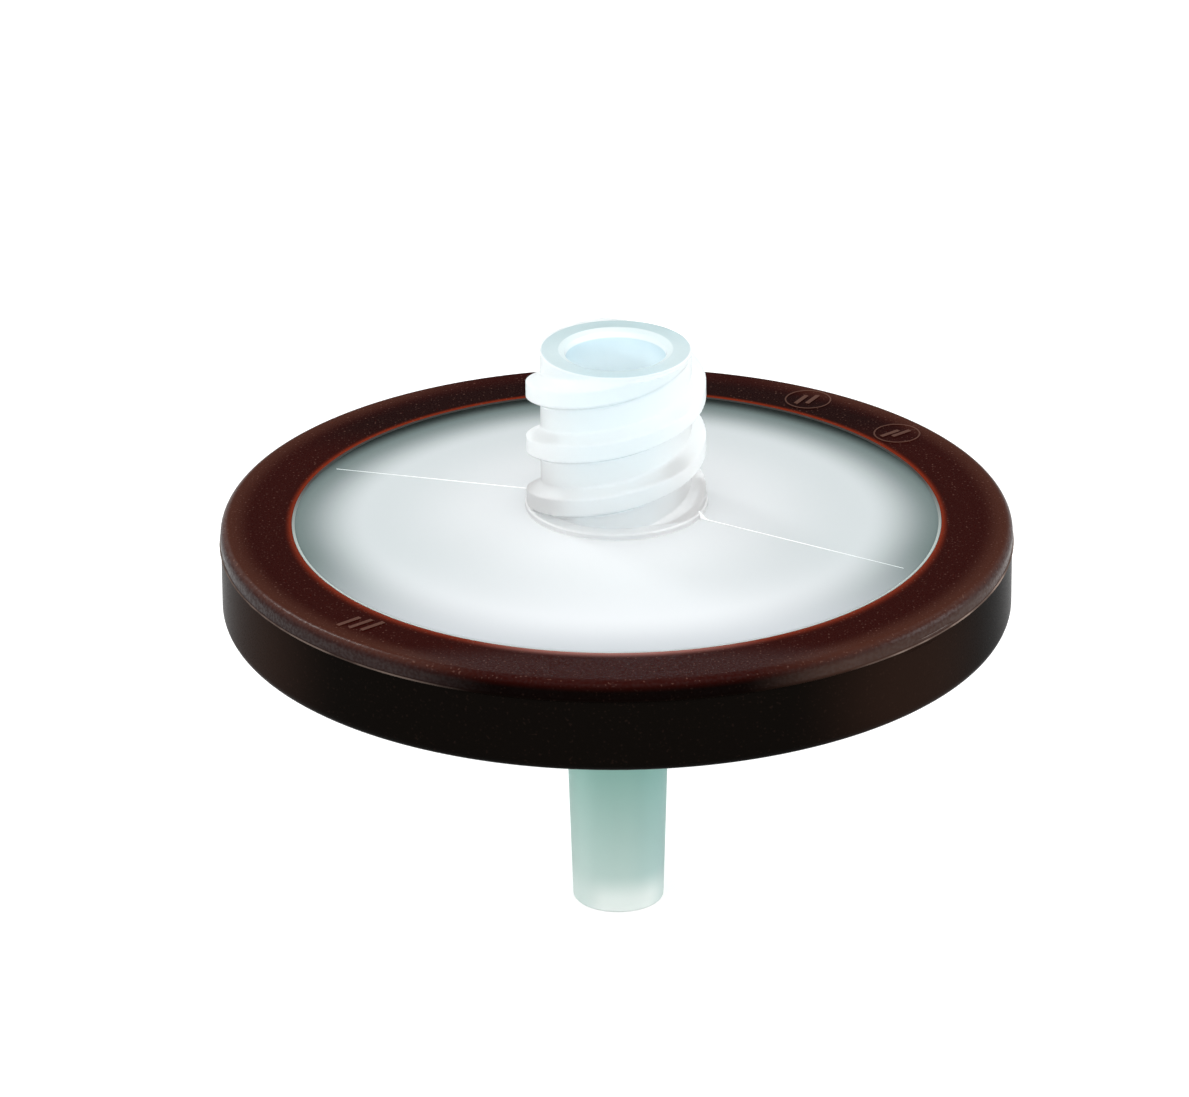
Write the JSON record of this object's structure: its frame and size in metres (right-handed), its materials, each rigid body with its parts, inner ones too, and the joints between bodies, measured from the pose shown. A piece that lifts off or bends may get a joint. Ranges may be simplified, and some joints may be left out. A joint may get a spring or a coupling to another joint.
{
  "type": "syringe filter",
  "caption": "Disc syringe filter with a female luer lock inlet and a male luer slip outlet, its membrane sealed between two housing halves by an overmoulded ring.",
  "frame": {"origin": "centre of the outlet tip's end face, where the filter stands", "axes": "+Z along the common axis, from the outlet tip to the inlet lip"},
  "size_m": [0.0342, 0.0342, 0.0259],
  "materials": {
    "inlet_plastic": "translucent natural polypropylene, moulded, satin",
    "membrane": "microporous white membrane, matt",
    "outlet_plastic": "translucent natural polypropylene, moulded, satin",
    "ring_plastic": "dark brown coloured polypropylene, fine matt grain with a satin shoulder"
  },
  "bodies": {
    "root": {"inlet_housing": "inlet_plastic", "membrane": "membrane", "outlet_housing": "outlet_plastic", "overmould_ring": "ring_plastic"}
  },
  "joints": []
}
